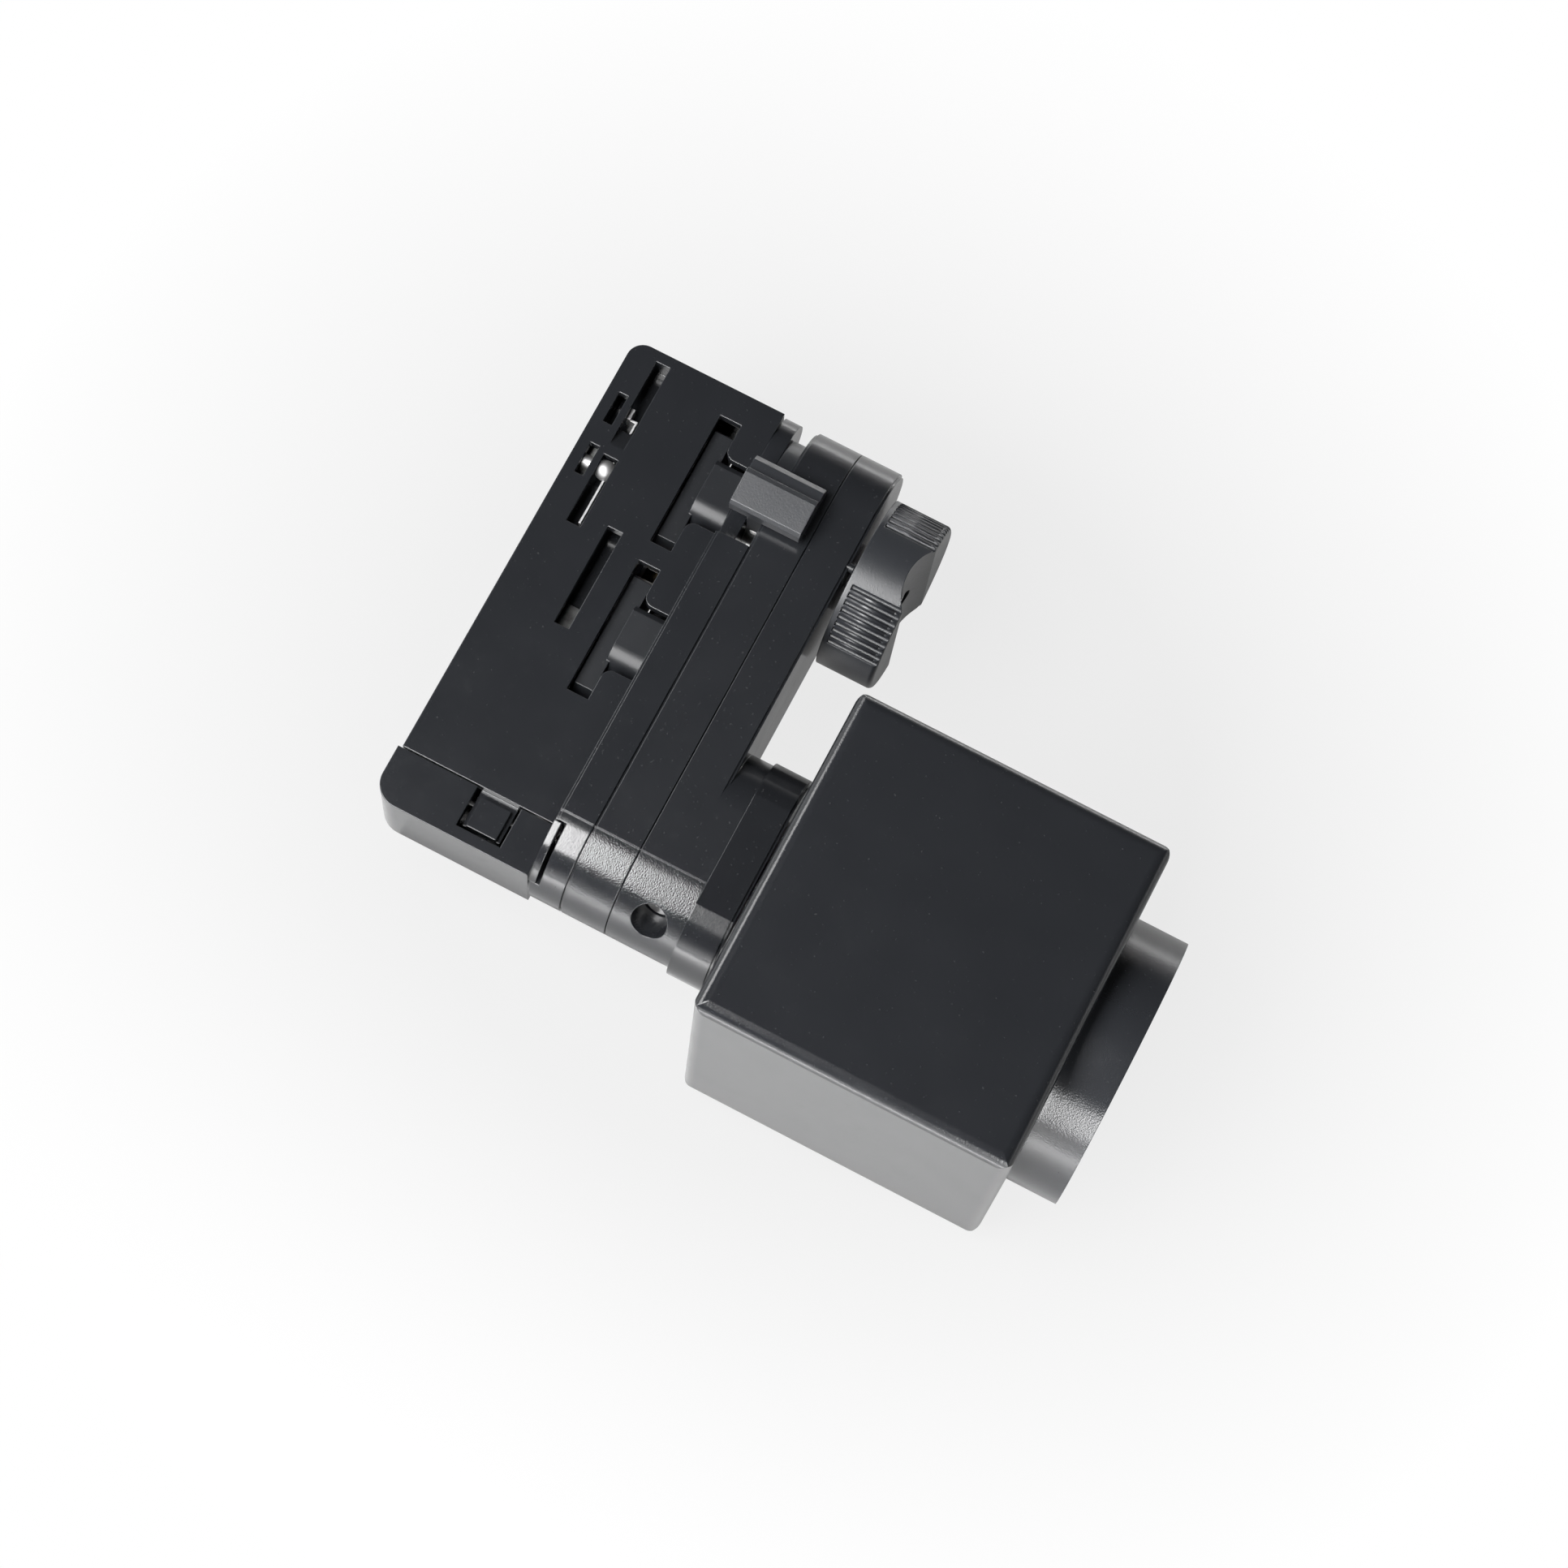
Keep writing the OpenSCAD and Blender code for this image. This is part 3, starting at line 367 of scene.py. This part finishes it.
def ridge_tree():
    """Geometry Nodes that set one rounded ridge on each land between the knob's grooves."""
    tree = bpy.data.node_groups.new("grip_ridge_rows", "GeometryNodeTree")
    face = tree.interface
    for name in ("Radius", "Width", "Length", "Middle", "Centre", "Turn", "Step", "Zone Turn"):
        face.new_socket(name=name, in_out="INPUT", socket_type="NodeSocketFloat")
    for name in ("Count", "Zones"):
        face.new_socket(name=name, in_out="INPUT", socket_type="NodeSocketInt")
    face.new_socket(name="Finish", in_out="INPUT", socket_type="NodeSocketMaterial")
    face.new_socket(name="Geometry", in_out="OUTPUT", socket_type="NodeSocketGeometry")

    def add(kind, settings=None, inputs=None):
        made = tree.nodes.new(kind)
        for name, value in (settings or {}).items():
            setattr(made, name, value)
        for name, value in (inputs or {}).items():
            socket = find(made.inputs, name)
            if isinstance(value, bpy.types.NodeSocket):
                tree.links.new(value, socket)
            else:
                socket.default_value = value
        return made

    def sums(operation, first, second):
        return add("ShaderNodeMath", {"operation": operation}, {0: first, 1: second}).outputs[0]

    given = add("NodeGroupInput").outputs
    total = sums("MULTIPLY", given["Count"], given["Zones"])
    points = add("GeometryNodeMeshLine", None, {"Count": total}).outputs["Mesh"]
    index = add("GeometryNodeInputIndex").outputs[0]
    in_zone = sums("MODULO", index, given["Count"])
    zone = sums("FLOOR", sums("DIVIDE", index, given["Count"]), 0.0)
    middle = sums("MULTIPLY", sums("SUBTRACT", given["Count"], 1.0), 0.5)
    offset = sums("MULTIPLY", sums("SUBTRACT", in_zone, middle), given["Step"])
    angle = sums("ADD", sums("ADD", given["Turn"], sums("MULTIPLY", zone, given["Zone Turn"])), offset)
    x = sums("ADD", given["Centre"], sums("MULTIPLY", given["Radius"], sums("COSINE", angle, 0.0)))
    y = sums("MULTIPLY", given["Radius"], sums("SINE", angle, 0.0))
    place = add("ShaderNodeCombineXYZ", None, {"X": x, "Y": y, "Z": given["Middle"]}).outputs[0]
    set_at = add("GeometryNodeSetPosition", None, {"Geometry": points, "Position": place}).outputs[0]
    turn = add("ShaderNodeCombineXYZ", None, {"Z": angle}).outputs[0]
    radius = sums("MULTIPLY", given["Width"], 0.5)
    bar = add("GeometryNodeMeshCylinder", None, {
        "Vertices": RIDGE_SIDES, "Side Segments": 1, "Radius": radius,
        "Depth": given["Length"]}).outputs["Mesh"]
    flat = add("ShaderNodeCombineXYZ", None, {"X": RIDGE_RISE, "Y": 1.0, "Z": 1.0}).outputs[0]
    low = add("GeometryNodeTransform", None, {"Geometry": bar, "Scale": flat}).outputs[0]
    rows = add("GeometryNodeInstanceOnPoints", None, {
        "Points": set_at, "Instance": low, "Rotation": turn}).outputs[0]
    whole = add("GeometryNodeRealizeInstances", None, {"Geometry": rows}).outputs[0]
    smooth = add("GeometryNodeSetShadeSmooth", None, {"Geometry": whole}).outputs[0]
    dressed = add("GeometryNodeSetMaterial", None, {
        "Geometry": smooth, "Material": given["Finish"]}).outputs[0]
    add("NodeGroupOutput", None, {"Geometry": dressed})
    return tree


def made_by_tree(name, tree, values):
    """Runs a tree on an empty mesh and keeps the result as a plain mesh at the origin."""
    maker = bpy.data.objects.new(name + "_maker", bpy.data.meshes.new(name + "_seed"))
    bpy.context.scene.collection.objects.link(maker)
    modifier = maker.modifiers.new("rows", "NODES")
    modifier.node_group = tree
    inputs = [item for item in tree.interface.items_tree if item.in_out == "INPUT"]
    identifiers = {item.name: item.identifier for item in inputs}
    for label, value in values.items():
        modifier[identifiers[label]] = value
    shown = maker.evaluated_get(bpy.context.evaluated_depsgraph_get())
    mesh = bpy.data.meshes.new_from_object(shown)
    mesh.name = name
    bpy.data.objects.remove(maker)
    piece = bpy.data.objects.new(name, mesh)
    bpy.context.scene.collection.objects.link(piece)
    return piece


def grip_ridges():
    """Rounded ridges on the knob's four grip zones."""
    low = KNOB_END + RIDGE_END_GAP
    high = KNOB_TOP - RIDGE_TOP_GAP
    piece = made_by_tree("grip_ridges", ridge_tree(), {
        "Radius": KNOB_R - RIDGE_SINK, "Width": RIDGE_WIDTH, "Length": high - low,
        "Middle": (high + low) / 2, "Centre": KNOB_X, "Turn": math.radians(FIRST_ZONE),
        "Step": math.radians(GROOVE_STEP), "Zone Turn": 2 * math.pi / GROOVE_ZONES,
        "Count": GROOVES - 1, "Zones": GROOVE_ZONES, "Finish": FINISHES["control_plastic"]})
    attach(piece, "selector")


# Table, a little below the adapter so that the turned head clears it
TABLE_Y = 28.4 * MM
TABLE_HALF = 1.5
UNSEEN_PAPER = 0.34
SEEN_PAPER = 0.12
# How the table's white grows away from the adapter, which paints a soft shade round it
WHITE_STARTS = 0.06
WHITE_FADE = 0.08
WHITE_NEAR = 0.80
WHITE_FAR_ADDS = 0.20
WHITE_IN_GLOSS = 0.30

# Spans under the adapter that let light through, lowest and highest X and Z in millimetres
HIDDEN_SPANS = (((-22.0, -20.0), (56.0, 25.0)), ((-23.0, -78.0), (23.0, -33.0)))


def table_finish():
    """White table that keeps a soft shadow, partly real and partly painted shade from its white growing
    away from the adapter, and is clear from below so that the adapter's back is lit.
    """
    made = bpy.data.materials.new("white_table")
    board = Board(made)
    path = board.node("ShaderNodeLightPath")
    seen = path["Is Camera Ray"].most(path["Is Transmission Ray"])
    behind = board.node("ShaderNodeNewGeometry")["Backfacing"]
    shade = board.blend(seen, grey(UNSEEN_PAPER), grey(SEEN_PAPER))
    paper = board.node("ShaderNodeBsdfDiffuse", None, {"Color": shade})["BSDF"]
    white = board.node("ShaderNodeEmission", None, {"Color": grey(1.0), "Strength": 1.0})["Emission"]
    from_middle = {0: board.places(), 1: (MIDDLE[0], TABLE_Y, MIDDLE[2])}
    away = board.node("ShaderNodeVectorMath", {"operation": "DISTANCE"}, from_middle)["Value"]
    # The table is painted whiter with distance from the adapter, so the lit paper close to it shows as a
    # soft painted shade on top of its real shadow
    far = ((away - WHITE_STARTS) * (1.0 / WHITE_FADE)).most(0.0).least(1.0)
    share = (seen * (WHITE_NEAR + far * WHITE_FAR_ADDS)).most(path["Is Glossy Ray"] * WHITE_IN_GLOSS)
    lit = board.node("ShaderNodeMixShader", None, {0: share, 1: paper, 2: white})["Shader"]
    clear = board.node("ShaderNodeBsdfTransparent")["BSDF"]
    apart = board.axes(board.places())
    inside = 0.0
    for low, high in HIDDEN_SPANS:
        in_x = (apart["X"] - low[0] * MM) * (high[0] * MM - apart["X"])
        in_z = (apart["Z"] - low[1] * MM) * (high[1] * MM - apart["Z"])
        inside = in_x.least(in_z).most(inside)
    open_to_light = behind.most(inside.over(0.0) * (1.0 - seen))
    board.finish(board.node("ShaderNodeMixShader", None, {0: open_to_light, 1: lit, 2: clear})["Shader"])
    return made


def table():
    """Plain pale table under the adapter, which lies on its side."""
    mesh = bpy.data.meshes.new("table")
    near, far = -TABLE_HALF, TABLE_HALF
    corners = [(near, TABLE_Y, near), (far, TABLE_Y, near), (far, TABLE_Y, far), (near, TABLE_Y, far)]
    mesh.from_pydata(corners, [], [(0, 1, 2, 3)])
    mesh.materials.append(table_finish())
    floor = bpy.data.objects.new("table", mesh)
    bpy.context.scene.collection.objects.link(floor)


# Room light: its least level, its glow near the table's plane, and the brighter band at the back end
ROOM_LEAST = 0.03
GLOW_REACH = 0.35
GLOW_LEVEL = 1.4
BAND_LEVEL = 4.5
BAND_NARROWING = 16.0
DIMMER_BELOW = 0.75


def room():
    """Soft room light, dim above, pale from the table down, and brightest level with its back end."""
    world = bpy.data.worlds.new("studio")
    bpy.context.scene.world = world
    board = Board(world)
    path = board.node("ShaderNodeLightPath")
    way = board.node("ShaderNodeTexCoord")["Generated"]
    apart = board.axes(way)
    glow = ((apart["Y"] + GLOW_REACH) * (1.0 / GLOW_REACH)).most(0.0).least(1.0)
    side = 0.5 - apart["X"] * 0.5
    band = (1.0 - apart["Z"] * apart["Z"] * BAND_NARROWING).most(0.0)
    below = 1.0 - apart["Y"].most(0.0) * DIMMER_BELOW
    level = ROOM_LEAST + glow * glow * below * (GLOW_LEVEL + side * side * side * band * BAND_LEVEL)
    strength = path["Is Camera Ray"].most(level)
    sky = board.node("ShaderNodeBackground", None, {"Color": grey(1.0), "Strength": strength})["Background"]
    board.node("ShaderNodeOutputWorld", None, {"Surface": sky})


# Spread of a lamp's beam, in degrees
WIDE = 180.0
NARROW = 40.0


def soft_box(name, place, size, power, target=MIDDLE, spread=WIDE):
    """Area light that faces a target, with its beam narrowed to a spread in degrees."""
    lamp = bpy.data.lights.new(name, "AREA")
    lamp.shape = "RECTANGLE"
    lamp.size, lamp.size_y = size
    lamp.energy = power
    lamp.spread = math.radians(spread)
    box = bpy.data.objects.new(name, lamp)
    box.location = place
    aim = Vector(target) - Vector(place)
    box.rotation_euler = aim.to_track_quat("-Z", "Y").to_euler()
    bpy.context.scene.collection.objects.link(box)


# Camera fitted to the photograph: its lens in millimetres, its place and its axes
LENS = 93.17
SENSOR = 36.0
NEAREST = 0.01
FARTHEST = 20.0
CAMERA_AT = Vector((-144.037, -569.658, -74.802)) * MM
ACROSS = Vector((0.4586471, -0.0517865, -0.8871082))
DOWN = Vector((-0.8469698, 0.2765676, -0.4540401))
AHEAD = Vector((0.2688585, 0.9595981, 0.0829854))


def camera():
    """Camera at the photograph's place, turned as it was held."""
    view = bpy.data.cameras.new("camera")
    view.lens = LENS
    view.sensor_width = SENSOR
    view.clip_start = NEAREST
    view.clip_end = FARTHEST
    turn = Matrix((ACROSS, -DOWN, -AHEAD)).transposed().to_4x4()
    holder = bpy.data.objects.new("camera", view)
    holder.matrix_world = Matrix.Translation(CAMERA_AT) @ turn
    bpy.context.scene.collection.objects.link(holder)
    bpy.context.scene.camera = holder


camera()
dress_nodes()
grip_ridges()
table()
room()
soft_box("window_up", place=(-0.208, -0.485, 0.190), size=(0.47, 0.30), power=10.2)
soft_box("window_down", place=(-0.40, -0.20, -0.145), size=(0.20, 0.10), power=1.45)
soft_box("panel_up", place=(0.0, -0.32, 0.80), size=(0.60, 0.30), power=4.5)
soft_box("table_back", place=(-0.33, -0.40, -0.03), size=(0.34, 0.80), power=34.0,
         target=(-0.33, 0.0, -0.03), spread=NARROW)
soft_box("table_front", place=(0.36, -0.40, -0.03), size=(0.30, 0.80), power=12.0,
         target=(0.36, 0.0, -0.03), spread=NARROW)
bpy.context.scene.view_settings.view_transform = "Standard"
